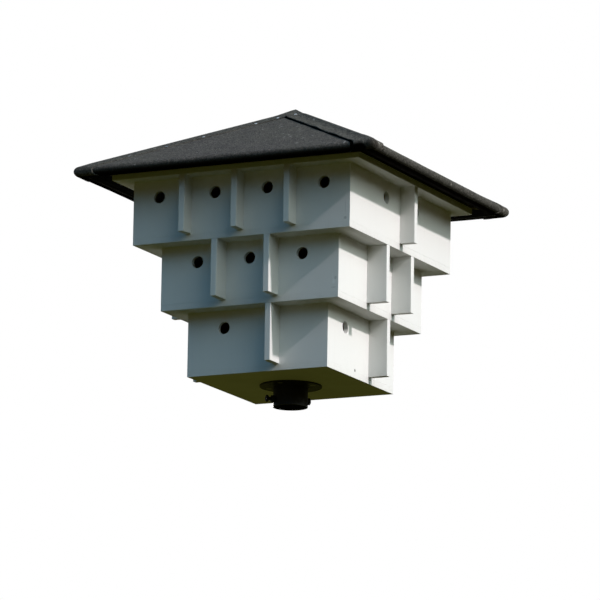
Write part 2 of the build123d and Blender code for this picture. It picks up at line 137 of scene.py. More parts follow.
# Dim light of the studio's air: on the side away from the key lamp, and on the lamp's side
BELOW = ((0.045, 0.046, 0.008), (0.020, 0.020, 0.003))
LEVEL = ((0.089, 0.077, 0.077), (0.074, 0.045, 0.010))
ABOVE = ((0.071, 0.252, 0.448), (2.31, 2.59, 2.42))
WHITE = (1.0, 1.0, 1.0)
KEY_COLOUR = (1.0, 0.905, 0.92)
KEY_DISTANCE = 8.0
KEY_WIDTH = math.radians(2.2)
FILL_PLACE = (-5.5, 6.5, 2.6)
FILL_POWER = 620.0
FILL_COLOUR = (1.0, 0.955, 0.90)
FILL_WIDTH = 3.0
FLOOR_RADIUS = 120.0
FLOOR_SIDES = 96
EYE = Vector((6.224, -12.698, -2.676))
TARGET = Vector((0.0234, 0.0, 0.297))
CAMERA_ROLL = math.radians(1.01)
SENSOR = 36.0
FAR_CLIP = 200.0

PAINTED_SHADE_BLACK = (0.0050, 0.0036, 0.0026)
CHALK = (0.93, 0.94, 0.94)
SMUDGE_AND_SHADOW_DARK = (0.055, 0.055, 0.050)
PALE_GRANULES = (0.30, 0.29, 0.27)
PALE_CHIPS = (0.34, 0.33, 0.31)
PALE_SCUFFS = (0.32, 0.31, 0.29)

# Kinds of felt: where painted shade starts to blacken the felt round the bend, from 1 facing up to -1
# facing down, and tint. The front and left sheets and the right and back sheets are shaded and lit copies
# of one felt, their tints set to the light on each side
FRONT_AND_LEFT_SHADE_FROM, FRONT_AND_LEFT_TINT = 0.6, (1.08, 1.08, 1.09)
UNDERSIDE_SHADE_FROM, RIGHT_AND_BACK_TINT = -0.93, (0.83, 0.87, 0.87)
STRIP_TINT = (0.99, 1.01, 1.0)
GRANULE_SCALE = 760.0

# Marks that years outdoors left on the paint and the felt, and some painted shadow: place, half-width along
# x, y and z, and strength. The dark marks are a dot low on the bottom right wall, smears by the right edge
# of the middle tier's front wall, and a thin line and a spot of painted shadow by the right edge of the top
# tier's front wall. The strip's black patches are painted shadow where it bridges the eave's corner
SMUDGES_AND_PAINTED_SHADOWS = (
    ((0.211, -0.0366, 0.081), (9 * MM, 4.2 * MM, 4.8 * MM), 1.0),
    ((0.3112, -0.325, 0.465), (1.3 * MM, 3 * MM, 22 * MM), 0.16),
    ((0.3116, -0.325, 0.4352), (5 * MM, 3 * MM, 4.5 * MM), 0.30),
    ((0.2575, -0.266, 0.288), (4 * MM, 3 * MM, 5 * MM), 0.22),
    ((0.2530, -0.266, 0.2625), (9 * MM, 3 * MM, 1.6 * MM), 0.22),
)
CHALK_MARKS = (
    ((0.2520, -0.266, 0.279), (6 * MM, 3 * MM, 8 * MM), 0.55),
    ((0.2490, -0.266, 0.296), (2.5 * MM, 3 * MM, 9 * MM), 0.35),
)
FELT_SCUFFS = (
    ((0.1996, -0.3977, 0.6329), (2.4 * MM, 9 * MM, 9 * MM), 0.5),
    ((0.1382, -0.3102, 0.6760), (3.5 * MM, 9 * MM, 9 * MM), 0.35),
    ((0.1923, -0.3450, 0.6589), (2.4 * MM, 9 * MM, 9 * MM), 0.35),
    ((0.3615, -0.4407, 0.6117), (2.6 * MM, 9 * MM, 9 * MM), 0.8),
    ((0.4023, -0.4807, 0.5920), (5.0 * MM, 9 * MM, 9 * MM), 0.6),
    ((0.2469, -0.2995, 0.6813), (2.6 * MM, 9 * MM, 9 * MM), 0.4),
    ((0.1182, -0.3096, 0.6763), (3.0 * MM, 9 * MM, 9 * MM), 0.3),
)
STRIP_SCUFFS = (
    ((0.4475, -0.4186, 0.6051), (20 * MM, 4.5 * MM, 4.5 * MM), 0.7),
)
STRIP_PAINTED_SHADOWS = (
    ((0.3960, -0.4475, 0.5880), (19 * MM, 22 * MM, 17 * MM), 1.0),
    ((0.4130, -0.4475, 0.5900), (17 * MM, 22 * MM, 17 * MM), 1.0),
    ((0.4460, -0.4420, 0.5960), (24 * MM, 24 * MM, 20 * MM), 0.5),
    ((0.4475, -0.4002, 0.5989), (20 * MM, 3.5 * MM, 3 * MM), 1.0),
    ((0.4475, -0.3906, 0.5929), (20 * MM, 4 * MM, 3.5 * MM), 0.9),
)


# Settings that a user may change


class BoardSettings(PropertyGroup):
    """The painted boards."""

    paint: FloatVectorProperty(
        name="Paint", description="Colour of the clean paint", subtype="COLOR", size=3, min=0, max=1,
        default=(0.76, 0.765, 0.75),
    )
    grime: FloatVectorProperty(
        name="Grime", description="Colour that rain leaves on the paint", subtype="COLOR", size=3, min=0,
        max=1, default=(0.34, 0.33, 0.25),
    )
    plywood: FloatVectorProperty(
        name="Plywood", description="Colour of the bare inner boards", subtype="COLOR", size=3, min=0, max=1,
        default=(0.52, 0.36, 0.19),
    )
    ease: FloatProperty(
        name="Edge easing", description="Width that sandpaper took off each edge", unit="LENGTH", min=0,
        default=0.7 * MM, precision=4,
    )


class RoofSettings(PropertyGroup):
    """The felt roof."""

    felt: FloatVectorProperty(
        name="Felt", description="Mean colour of the mineral granules", subtype="COLOR", size=3, min=0,
        max=1, default=(0.082, 0.0755, 0.067),
    )
    pitch: FloatProperty(
        name="Pitch", description="Slope of the roof", subtype="ANGLE", default=math.radians(26.25)
    )
    roll: FloatProperty(
        name="Eave roll", description="Radius of the felt where it turns under", unit="LENGTH",
        default=12.5 * MM, precision=4,
    )
    corner: FloatProperty(
        name="Corner", description="Radius of the eave's corners, seen from above", unit="LENGTH",
        default=11 * MM, precision=4,
    )
    felt_thickness: FloatProperty(
        name="Felt thickness", description="Thickness of the felt", unit="LENGTH",
        default=3.5 * MM, precision=4,
    )
    turned_back: FloatProperty(
        name="Turned back", description="Flat felt under the eave", unit="LENGTH",
        default=14 * MM, precision=4,
    )
    strip_thickness: FloatProperty(
        name="Strip thickness", description="Thickness of the hip strips", unit="LENGTH",
        default=2 * MM, precision=4,
    )
    strip_width: FloatProperty(
        name="Strip width", description="Width of a hip strip on each slope", unit="LENGTH",
        default=48 * MM, precision=4,
    )
    wave: FloatProperty(
        name="Wave", description="How far the felt lies off the boards in places", unit="LENGTH",
        default=0.8 * MM, precision=4,
    )


class SteelSettings(PropertyGroup):
    """The pole socket and the fastenings."""

    black: FloatVectorProperty(
        name="Black paint", description="Colour of the painted steel", subtype="COLOR", size=3, min=0, max=1,
        default=(0.012, 0.012, 0.013),
    )
    zinc: FloatVectorProperty(
        name="Zinc", description="Colour of the nails and the flange screws", subtype="COLOR", size=3, min=0,
        max=1, default=(0.80, 0.80, 0.79),
    )
    thread_pitch: FloatProperty(
        name="Thread pitch", description="Rise of the clamp screw's thread in one turn", unit="LENGTH",
        default=1.5 * MM, precision=4,
    )
    bead: FloatProperty(
        name="Weld bead", description="Radius of the weld under the flange plate", unit="LENGTH",
        default=2.2 * MM, precision=4,
    )


class StageSettings(PropertyGroup):
    """Floor, lamps and camera."""

    floor: FloatVectorProperty(
        name="Floor", description="Colour of the floor", subtype="COLOR", size=3, min=0, max=1,
        default=(0.93, 0.80, 0.67),
    )
    floor_height: FloatProperty(
        name="Floor height", description="Height of the floor", unit="LENGTH", default=-13.5
    )
    key: FloatProperty(name="Key lamp", description="Strength of the key lamp", min=0, default=3.02)
    key_azimuth: FloatProperty(
        name="Key azimuth", description="Direction of the key lamp, from the right towards the front",
        subtype="ANGLE", default=math.radians(4.5),
    )
    key_elevation: FloatProperty(
        name="Key elevation", description="Height of the key lamp", subtype="ANGLE",
        default=math.radians(35.3),
    )
    lens: FloatProperty(
        name="Lens", description="Focal length on a 36 mm sensor", subtype="DISTANCE_CAMERA", default=317.3
    )


# Shader sums


class Wire:
    """A node's output, which Python's operators work on by adding Math nodes."""

    def __init__(self, tree, socket=None):
        self.tree = tree
        self.socket = socket

    def node(self, kind, settings=None, inputs=None, output=0):
        """Adds a node: its settings first, then the values or links of its sockets."""
        made = self.tree.nodes.new(kind)
        for name, value in (settings or {}).items():
            setattr(made, name, value)
        for key, value in (inputs or {}).items():
            if isinstance(value, Wire):
                self.tree.links.new(value.socket, made.inputs[key])
            else:
                made.inputs[key].default_value = value
        return Wire(self.tree, made.outputs[output] if made.outputs else None)

    def math(self, operation, *others):
        values = dict(enumerate((self, *others)))
        return self.node("ShaderNodeMath", {"operation": operation}, values)

    def __add__(self, other):
        return self.math("ADD", other)

    __radd__ = __add__

    def __mul__(self, other):
        return self.math("MULTIPLY", other)

    __rmul__ = __mul__

    def __sub__(self, other):
        return self.math("SUBTRACT", other)

    def __rsub__(self, other):
        return self * -1 + other

    def __truediv__(self, other):
        return self.math("DIVIDE", other)

    def between(self, low, high):
        """0 below low, 1 above high, smooth between them; low may be the larger."""
        settings = {"interpolation_type": "SMOOTHSTEP", "clamp": True}
        if low > high:
            inputs = {"Value": self, "From Min": high, "From Max": low, "To Min": 1.0, "To Max": 0.0}
        else:
            inputs = {"Value": self, "From Min": low, "From Max": high}
        return self.node("ShaderNodeMapRange", settings, inputs)


def blend(amount, first, second):
    """Mixes two colours by a mask; the Mix node takes colours at 6 and 7 and gives one at 2."""
    values = {0: amount}
    for socket, value in ((6, first), (7, second)):
        values[socket] = value if isinstance(value, Wire) else (*value, 1)
    return amount.node("ShaderNodeMix", {"data_type": "RGBA"}, values, 2)


def tinted(colour, *shades):
    """A colour with its parts scaled, by one number or by one for each part."""
    shades = shades * len(colour) if len(shades) == 1 else shades
    return tuple(value * shade for value, shade in zip(colour, shades))


def part(vector, axis):
    """A vector's part along x, y or z, which are axes 0, 1 and 2."""
    return vector.node("ShaderNodeSeparateXYZ", None, {0: vector}, axis)


def stretched(place, along):
    """Object coordinates scaled along x, y and z."""
    return place.node("ShaderNodeVectorMath", {"operation": "MULTIPLY"}, {0: place, 1: along})


def grain(place, scale, detail=3.0, roughness=0.55):
    inputs = {"Vector": place, "Scale": scale, "Detail": detail, "Roughness": roughness}
    return place.node("ShaderNodeTexNoise", None, inputs)


def cells(place, scale, output="Distance"):
    return place.node("ShaderNodeTexVoronoi", None, {"Vector": place, "Scale": scale}, output)


def marks(place, spots):
    """A mask of soft-edged spots on the object."""
    mask = 0
    for middle, spread, strength in spots:
        offset = place.node("ShaderNodeVectorMath", {"operation": "SUBTRACT"}, {0: place, 1: middle})
        share = place.node("ShaderNodeVectorMath", {"operation": "DIVIDE"}, {0: offset, 1: spread})
        far = place.node("ShaderNodeVectorMath", {"operation": "LENGTH"}, {0: share}, "Value")
        mask = far.between(1.15, 0.55) * strength + mask
    return mask


def start_material(name):
    """An empty material, with its first wire and where it lies on the object."""
    material = bpy.data.materials.new(name)
    material.use_nodes = True
    material.node_tree.nodes.clear()
    wire = Wire(material.node_tree)
    place = wire.node("ShaderNodeTexCoord", output="Object")
    return material, wire, place


def finish_material(material, wire, colour, roughness, height, relief, specular=0.5, metallic=0.0):
    """Joins the colour, the roughness and the relief in metres to the surface."""
    normal = wire.node("ShaderNodeBump", None, {"Height": height, "Strength": 1.0, "Distance": relief})
    surface = wire.node(
        "ShaderNodeBsdfPrincipled",
        None,
        {
            "Base Color": colour,
            "Roughness": roughness,
            "Normal": normal,
            "Specular IOR Level": specular,
            "Metallic": metallic,
        },
    )
    wire.node("ShaderNodeOutputMaterial", None, {"Surface": surface})
    return material


# Finishes


def painted_board(look):
    """White outdoor paint, brushed on plywood and rained on for some seasons."""
    material, wire, place = start_material("white_board_paint")
    upright = part(wire.node("ShaderNodeTexCoord", output="Normal"), 2)
    wall = upright.math("ABSOLUTE").between(0.6, 0.2)
    underside = upright.between(-0.3, -0.8)
    in_tier = ((part(place, 2) - LOWEST_FLOOR) / TIER_RISE).math("FRACT") * TIER_RISE
    board_edge = in_tier.between(BOARD + 0.2 * MM, BOARD - 0.2 * MM) * wall

    patches = grain(place, 7.0, 4.0).between(0.35, 0.7)
    runs = grain(stretched(place, (70.0, 70.0, 2.4)), 1.0, 5.0, 0.6).between(0.52, 0.78) * wall
    specks = grain(place, 420.0, 2.0).between(0.68, 0.78) * grain(place, 30.0).between(0.45, 0.7)
    foot = in_tier.between(26 * MM, 2 * MM) * grain(place, 45.0, 4.0).between(0.35, 0.75) * wall
    plies = wire.node(
        "ShaderNodeTexWave",
        {"wave_type": "BANDS", "bands_direction": "Z", "wave_profile": "SAW"},
        {"Vector": place, "Scale": 110.0, "Distortion": 0.6, "Detail": 2.0, "Detail Scale": 0.4},
    )
    veneer = grain(stretched(place, (14.0, 14.0, 420.0)), 1.0, 4.0, 0.65)

    # Darker where rain runs, at each tier's foot, in specks, in a line where each floor board ends, and in
    # patches on faces that look down
    dirt = runs * 0.035 + foot * 0.08 + specks * 0.25
    dirt = dirt + board_edge * plies * 0.04 + underside * patches * 0.12
    tone = blend(patches * 0.5, tuple(look.paint), tinted(look.paint, 0.985))
    tone = blend((veneer - 0.5).math("ABSOLUTE") * 0.03, tone, tuple(look.grime))
    tone = blend(dirt.math("MINIMUM", 0.6), tone, tuple(look.grime))
    rubbed = marks(place, CHALK_MARKS) * grain(place, 260.0, 3.0).between(0.35, 0.6)
    tone = blend(rubbed, tone, CHALK)
    # A dark dot and smears, and painted shadow by the right edge of the top tier's front wall
    tone = blend(marks(place, SMUDGES_AND_PAINTED_SHADOWS), tone, SMUDGE_AND_SHADOW_DARK)

    brush = grain(stretched(place, (30.0, 30.0, 900.0)), 1.0, 2.0)
    peel = grain(place, 1400.0, 1.0)
    height = veneer * 0.3 + brush * 0.15 + peel * 0.10 + board_edge * plies * 0.4
    roughness = 0.46 + patches * 0.10 + dirt * 0.4
    return finish_material(material, wire, tone, roughness, height, relief=0.12 * MM, specular=0.35)


def bare_plywood(look):
    """The unpainted inner boards."""
    material, wire, place = start_material("bare_plywood")
    rings = wire.node(
        "ShaderNodeTexWave",
        {"wave_type": "RINGS", "rings_direction": "Y", "wave_profile": "SAW"},
        {"Vector": stretched(place, (3.0, 1.0, 9.0)), "Scale": 5.0, "Distortion": 6.0, "Detail": 4.0},
    )
    pores = grain(stretched(place, (25.0, 25.0, 700.0)), 1.0, 3.0).between(0.55, 0.8)
    stains = grain(place, 9.0, 4.0).between(0.4, 0.75)
    tone = blend(rings * 0.55, tuple(look.plywood), tinted(look.plywood, 0.72, 0.66, 0.60))
    tone = blend(pores * 0.4 + stains * 0.15, tone, (0.20, 0.12, 0.06))
    height = rings * 0.4 - pores * 0.6
    roughness = 0.68 + stains * 0.12
    return finish_material(material, wire, tone, roughness, height, relief=0.15 * MM)


def strip_reach(look):
    """How far a hip strip reaches along the eave."""
    run = math.cos(look.pitch)
    return look.strip_width * math.hypot(1, 1 / run) * run


def mineral_felt(look, name, painted_shade_from, tint, scuffs=(), bare=()):
    """Bitumen felt faced with slate granules, blackened as it turns to face down round the eave: painted
    shade.

    A sheet gets a black line of painted shadow along the edges of the front right and back left strips; the
    strip felt gets black patches of painted shadow where it bridges the eave's corner.
    """
    material, wire, place = start_material(name)
    felt = tinted(look.felt, *tint)
    grit = cells(place, GRANULE_SCALE, "Color")
    brightness = wire.node("ShaderNodeSeparateColor", None, {0: grit}, 0)
    clumps = grain(place, 115.0, 2.5, 0.8)
    worn = grain(place, 24.0, 5.0, 0.6).between(0.42, 0.72)
    broad = grain(place, 4.5, 3.0).between(0.35, 0.7)
    chips = cells(place, 38.0).between(0.14, 0.07) * grain(place, 9.0).between(0.48, 0.6)
    pale = cells(place, 300.0).between(0.26, 0.14) * clumps.between(0.5, 0.62)

    tone = blend(brightness, tinted(felt, 0.45), tinted(felt, 1.75))
    # Bolder granules on the right and back sheets and the strips, set to the sunlit right eave: partly the
    # felt's own speckle, partly painted sunlight
    crisp = 0.45 if painted_shade_from > 0 else 0.85
    tone = blend(clumps.between(0.55, 0.66) * crisp, tone, tinted(felt, 2.2))
    tone = blend(clumps.between(0.45, 0.34) * crisp, tone, tinted(felt, 0.35))
    tone = blend(worn * 0.35, tone, tinted(felt, 0.58, 0.55, 0.68))
    tone = blend(broad * 0.25, tone, tinted(felt, 1.14, 1.22, 1.08))
    tone = blend(pale * 0.6, tone, PALE_GRANULES)
    tone = blend(chips * 0.75, tone, PALE_CHIPS)
    if scuffs:
        tone = blend(marks(place, scuffs), tone, PALE_SCUFFS)

    # Painted shadow: black patches where the strip bridges the eave's corner, and on a sheet a black line
    # along a strip's edge, where the strip lifts off it
    if bare:
        black = marks(place, bare)
    else:
        seam = part(place, 0) + part(place, 1) + strip_reach(look)
        black = seam.between(-4 * MM, -2 * MM) * seam.between(30 * MM, 20 * MM)
    upright = part(wire.node("ShaderNodeTexCoord", output="Normal"), 2)
    # Blackened as it turns to face down round the eave: painted shade, joined with the painted shadows above
    tone = blend(upright.between(painted_shade_from, -1.0).math("MAXIMUM", black), tone, PAINTED_SHADE_BLACK)
    height = cells(place, GRANULE_SCALE) * -1.0 + clumps * 4.5 + grain(place, 40.0, 3.0) * 0.8
    roughness = 0.9 - pale * 0.2
    return finish_material(material, wire, tone, roughness, height, relief=0.9 * MM, specular=0.0)


def tarred_board():
    """The roof boards, dark with old tar oil where they show behind the eaves."""
    material, wire, place = start_material("tarred_roof_board")
    fibres = grain(stretched(place, (14.0, 14.0, 300.0)), 1.0, 4.0)
    webs = grain(place, 60.0, 5.0, 0.7).between(0.55, 0.8)
    tone = blend(fibres.between(0.3, 0.75), (0.075, 0.066, 0.036), (0.135, 0.120, 0.066))
    tone = blend(webs * 0.35, tone, (0.26, 0.24, 0.18))
    roughness = 0.75 + webs * 0.15
    return finish_material(material, wire, tone, roughness, fibres, relief=0.2 * MM, specular=0.15)


def black_rail_stain():
    """Black stain on the softwood rails behind the eaves, with painted shade towards the eave's roll."""
    material, wire, place = start_material("black_rail_stain")
    fibres = grain(stretched(place, (18.0, 18.0, 600.0)), 1.0, 4.0)
    dust = grain(place, 16.0, 4.0).between(0.5, 0.8)
    tone = blend(fibres.between(0.3, 0.8), (0.010, 0.010, 0.010), (0.026, 0.025, 0.023))
    tone = blend(dust * 0.25, tone, (0.06, 0.055, 0.045))
    # Blackened towards the eave's roll: painted shade where the roll hides the rail
    outward = part(place, 0).math("ABSOLUTE").math("MAXIMUM", part(place, 1).math("ABSOLUTE"))
    shade_near_roll = outward.between(EAVE_TIP - 44 * MM, EAVE_TIP - 16 * MM)
    tone = blend(shade_near_roll * 0.9, tone, PAINTED_SHADE_BLACK)
    roughness = 0.7 + dust * 0.2
    return finish_material(material, wire, tone, roughness, fibres, relief=0.2 * MM, specular=0.0)


def cut_bitumen():
    """The black cut edge and back of the felt."""
    material, wire, place = start_material("cut_bitumen")
    lumps = grain(place, 700.0, 3.0)
    tone = blend(lumps.between(0.4, 0.7) * 0.6, (0.012, 0.0045, 0.0025), (0.018, 0.008, 0.005))
    roughness = 0.75 + lumps * 0.15
    return finish_material(material, wire, tone, roughness, lumps, relief=0.3 * MM, specular=0.0)


def entrance_wall():
    """The bored edge of the plywood, coloured far darker than the board: painted shade in the entrance
    holes, with patches rubbed darker by birds.
    """
    material, wire, place = start_material("entrance_edge_painted_shade")
    plies = grain(stretched(place, (120.0, 120.0, 120.0)), 1.0, 4.0)
    grease = grain(place, 26.0, 3.0).between(0.35, 0.65)
    tone = blend(plies.between(0.35, 0.7), (0.040, 0.038, 0.029), (0.090, 0.086, 0.066))
    tone = blend(grease * 0.6, tone, (0.022, 0.020, 0.016))
    roughness = 0.7 - grease * 0.15
    return finish_material(material, wire, tone, roughness, plies, relief=0.3 * MM, specular=0.2)


def black_steel(look, name):
    """Satin black paint on steel, dusty and chipped in a few places."""
    material, wire, place = start_material(name)
    dust = grain(place, 38.0, 4.0).between(0.48, 0.8)
    chips = grain(place, 160.0, 3.0).between(0.71, 0.735) * grain(place, 28.0).between(0.5, 0.6)
    peel = grain(place, 900.0, 2.0)
    tone = blend(dust * 0.35, tuple(look.black), (0.05, 0.047, 0.04))
    tone = blend(chips, tone, (0.16, 0.10, 0.06))
    height = peel * 0.4 - chips * 1.5
    roughness = 0.42 + dust * 0.3 + chips * 0.3
    return finish_material(material, wire, tone, roughness, height, relief=0.12 * MM, specular=0.25)


def zinc_plate(look):
    """Dull zinc; the lower nails, and the flange's screws far below them, are dark with dirt."""
    material, wire, place = start_material("dull_zinc")
    spangle = grain(place, 600.0, 3.0)
    tone = blend(spangle.between(0.35, 0.75) * 0.5, tuple(look.zinc), (0.42, 0.43, 0.43))
    lower = part(place, 2).between(ROOF_APEX - 80 * MM, ROOF_APEX - 150 * MM)
    tone = blend(lower * 0.8, tone, (0.10, 0.10, 0.10))
    roughness = 0.34 + spangle * 0.22
    return finish_material(material, wire, tone, roughness, spangle, relief=0.05 * MM, metallic=0.3)


# Shapes


def add_piece(name, mesh, finishes, body="tower"):
    """Puts a mesh in the scene, riding on a body of the frame."""
    piece = bpy.data.objects.new(name, mesh)
    bpy.context.scene.collection.objects.link(piece)
    mesh.materials.clear()
    for finish in finishes[: 1 + max(face.material_index for face in mesh.polygons)]:
        mesh.materials.append(finish)
    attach(piece, body)
    return piece


def finished_mesh(form, name):
    mesh = bpy.data.meshes.new(name)
    form.to_mesh(mesh)
    form.free()
    return mesh


def smooth_mesh(form, name):
    """Turns an edit mesh into a mesh that is smooth up to its creases."""
    bmesh.ops.remove_doubles(form, verts=form.verts, dist=SAME_PLACE)
    bmesh.ops.dissolve_degenerate(form, edges=form.edges, dist=SAME_PLACE)
    bmesh.ops.recalc_face_normals(form, faces=form.faces)
    for face in form.faces:
        face.smooth = True
    for edge in form.edges:
        edge.smooth = edge.calc_face_angle(0) < CREASE
    return finished_mesh(form, name)


def paint_node(name, material):
    """Gives a node of the frame its finish."""
    mesh = NODES[name].data
    mesh.materials.clear()
    mesh.materials.append(material)


def eased_copy(node, ease):
    """The node's own form with its arrises taken off."""
    form = bmesh.new()
    form.from_mesh(NODES[node].data)
    bmesh.ops.remove_doubles(form, verts=form.verts, dist=FRAME_SEAM)
    bmesh.ops.dissolve_limit(
        form, angle_limit=COPLANAR, verts=form.verts, edges=form.edges, use_dissolve_boundaries=False
    )
    for face in form.faces:
        face.smooth = any(COPLANAR < edge.calc_face_angle(0) < CREASE for edge in face.edges)
        face.material_index = int(face.smooth)
    for edge in form.edges:
        edge.smooth = edge.calc_face_angle(0) < CREASE
    arrises = [edge for edge in form.edges if not edge.smooth]
    eased = bmesh.ops.bevel(
        form, geom=arrises, offset=ease, offset_type="OFFSET", segments=2, profile=0.5, affect="EDGES",
        clamp_overlap=True,
    )
    for face in eased["faces"]:
        face.smooth = True
    return finished_mesh(form, f"{node}_eased")


def skin(form, rings, closed):
    """Joins rings of vertices with faces; closed rings join their last vertex to the first."""
    for first, second in zip(rings, rings[1:]):
        count = len(first)
        for column in range(count if closed else count - 1):
            after = (column + 1) % count
            form.faces.new((first[column], first[after], second[after], second[column]))


def ramp(value, low, high):
    """0 below low, 1 above high, smooth between them."""
    share = min(max((value - low) / (high - low), 0.0), 1.0)
    return share * share * (3 - 2 * share)


def roof_section(look):
    """The felt's outer face from the apex to under the eave.

    Each point comes with its direction off the felt and its corner radius seen from above. On the
    slope the direction is upright, so that what lies on the felt meets at the apex.
    """
    rise, run = math.sin(look.pitch), math.cos(look.pitch)
    middle = Vector((EAVE_TIP - look.roll, 0))
    middle.y = ROOF_APEX - (look.roll + middle.x * rise) / run
    apex = Vector((0, ROOF_APEX))
    slope_end = middle + look.roll * Vector((rise, run))
    section = []
    for step in range(FELT_STEPS):
        spot = apex.lerp(slope_end, step / FELT_STEPS)
        corner = look.corner * ramp(spot.x, slope_end.x - 3 * look.corner, slope_end.x)
        section.append((spot, Vector((0, 1 / run)), corner))
    for step in range(BEND_STEPS + 1):
        angle = QUARTER - look.pitch - (math.pi - look.pitch) * step / BEND_STEPS
        off = Vector((math.cos(angle), math.sin(angle)))
        section.append((middle + look.roll * off, off, look.corner))
    return section


def around(out, across, corner):
    """A place on the front half of a square ring with rounded corners, seen from above."""
    past = abs(across) - (out - corner)
    if past <= 0 or corner <= 0:
        return across, -out
    turn = past / corner * math.pi / 4
    return (
        math.copysign(out - corner + corner * math.sin(turn), across),
        -(out - corner + corner * math.cos(turn)),
    )


class NESTBOX_OT_boards(Operator):
    """Paint the floors, the walls with their screws, the fins and the soffit board"""

    bl_idname = "nestbox.boards"
    bl_label = "Painted boards"

    def execute(self, context):
        look = context.scene.nestbox_boards
        finishes = (painted_board(look), entrance_wall())
        paint_node("panel_screws", finishes[0])
        for node in PAINTED:
            piece = add_piece(f"{node}_painted", eased_copy(node, look.ease), finishes)
            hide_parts(node)
        return {"FINISHED"}


class NESTBOX_OT_inner_boards(Operator):
    """Leave the dividers and the king post bare, and tar and stain the rest under the roof"""

    bl_idname = "nestbox.inner_boards"
    bl_label = "Inner boards"

    def execute(self, context):
        plywood = bare_plywood(context.scene.nestbox_boards)
        tar = tarred_board()
        stain = black_rail_stain()
        for node in BARE:
            paint_node(node, plywood)
        paint_node("hip_rafters", tar)
        for side in SIDES:
            paint_node(f"{side}_roof_board", tar)
            paint_node(f"{side}_eave_rail", stain)
        return {"FINISHED"}


def felt_mesh(side, look):
    """One slope's felt, from the apex down and round the eave, as a closed sheet."""
    section = roof_section(look)
    spot, off, corner = section[-1]
    section.append((spot - Vector((look.turned_back, 0)), off, corner))
    shares = [1 - (1 - step / FELT_COLUMNS) ** CROWDING for step in range(FELT_COLUMNS + 1)]
    shares = [-share for share in reversed(shares[1:])] + shares
    form = bmesh.new()
    turn = Matrix.Rotation(QUARTER * SIDES.index(side), 4, "Z")
    seed = Vector((11.3 * SIDES.index(side), 4.7, 0.0))

    def row(spot, off, corner, lifts):
        verts = []
        for share, lift in zip(shares, lifts):
            out = max(spot.x + off.x * lift, 0)
            x, y = around(out, share * out, min(max(corner + off.x * lift, 0), out))
            verts.append(form.verts.new(turn @ Vector((x, y, spot.y + off.y * lift))))
        return verts

    rings = []
    for spot, off, corner in section:
        lifts = []
        for share in shares:
            along = Vector((share * spot.x * 7, spot.x * 7, spot.y * 7))
            wave = noise.noise(along + seed) + 0.5 * noise.noise(along * 3.3 + seed)
            lifts.append(look.wave * ramp((1 - abs(share)) * spot.x, 0, 40 * MM) * (0.35 + wave))
        rings.append(row(spot, off, corner, lifts))
    for spot, off, corner in reversed(section):
        rings.append(row(spot, off, corner, [-look.felt_thickness] * len(shares)))
    skin(form, [*rings, rings[0]], False)
    for column in (0, -1):
        form.faces.new([ring[column] for ring in rings])
    return smooth_mesh(form, f"{side}_felt_sheet")


def strip_mesh(corner, look):
    """The felt strip over one hip, folded down over the corner of the eave."""
    reach = strip_reach(look)
    section = roof_section(look)
    bend = next(index for index, (_, off, _) in enumerate(section) if off.x > 0)
    last = len(section) - 1
    form = bmesh.new()
    turn = Matrix.Rotation(QUARTER * CORNERS.index(corner), 4, "Z")
    seed = Vector((3.1, 17.9 * CORNERS.index(corner), 0.0))

    def ragged(index, out, wing):
        """Width of the strip along the eave, with its knife cut wandering a little."""
        wander = noise.noise(Vector((out * 9, wing * 3.3, 1)) + seed)
        wander += 0.5 * noise.noise(Vector((out * 41, wing * 3.3, 2)) + seed)
        trim = EAVE_TRIM * ramp(index, bend - 1, bend + 4)
        return min(reach + wander * CUT_WANDER - trim, out)

    def lift(index, out, wing, share):
        """How far the strip's back lies off the felt."""
        ridge = STAND_OFF[corner] * ramp(out, 20 * MM, 70 * MM) * (1 - ramp(share, 0, 0.3))
        lap = APEX_LAP * (1 - ramp(out, 0, APEX_LAP_LENGTH)) * (1 - share * out / reach)
        loose = LOOSE[corner] if wing < 0 else NAILED_LIFT
        curl = 0.75 + noise.noise(Vector((out * 15, wing * 5.1, 3)) + seed)
        curl *= loose * ramp(share, 0.45, 1) * ramp(out, 0, 60 * MM)
        round_eave = min(max((index - bend + 6) / (last - bend + 6), 0), 1)
        bulge = BULGE[corner] * math.sin(math.pi * round_eave)
        return STRIP_CLEARANCE + ridge * ramp(last - index, 4, 20) + lap + curl + bulge

    def row(index, thickness):
        spot, off, radius = section[index]
        verts = []
        for column in range(-STRIP_COLUMNS, STRIP_COLUMNS + 1):
            wing = 1 if column > 0 else -1
            share = (abs(column) / STRIP_COLUMNS) ** CROWDING
            height = lift(index, spot.x, wing, share) + thickness
            out = spot.x + off.x * height
            back = share * ragged(index, out, wing)
            x, y = around(out, out - back, min(max(radius + off.x * height, 0), out))
            if wing > 0:
                x, y = -y, -x
            verts.append(form.verts.new(turn @ Vector((x, y, spot.y + off.y * height))))
        return verts

    faced = [row(index, look.strip_thickness) for index in range(last + 1)]
    skin(form, faced, False)
    granules = len(form.faces)
    back = [row(index, 0) for index in range(last, -1, -1)]
    skin(form, [faced[-1], *back, faced[0]], False)
    for column in (0, -1):
        form.faces.new([ring[column] for ring in (*faced, *back)])
    for face in list(form.faces)[granules:]:
        face.material_index = 1
    return smooth_mesh(form, f"{corner}_hip_strip")


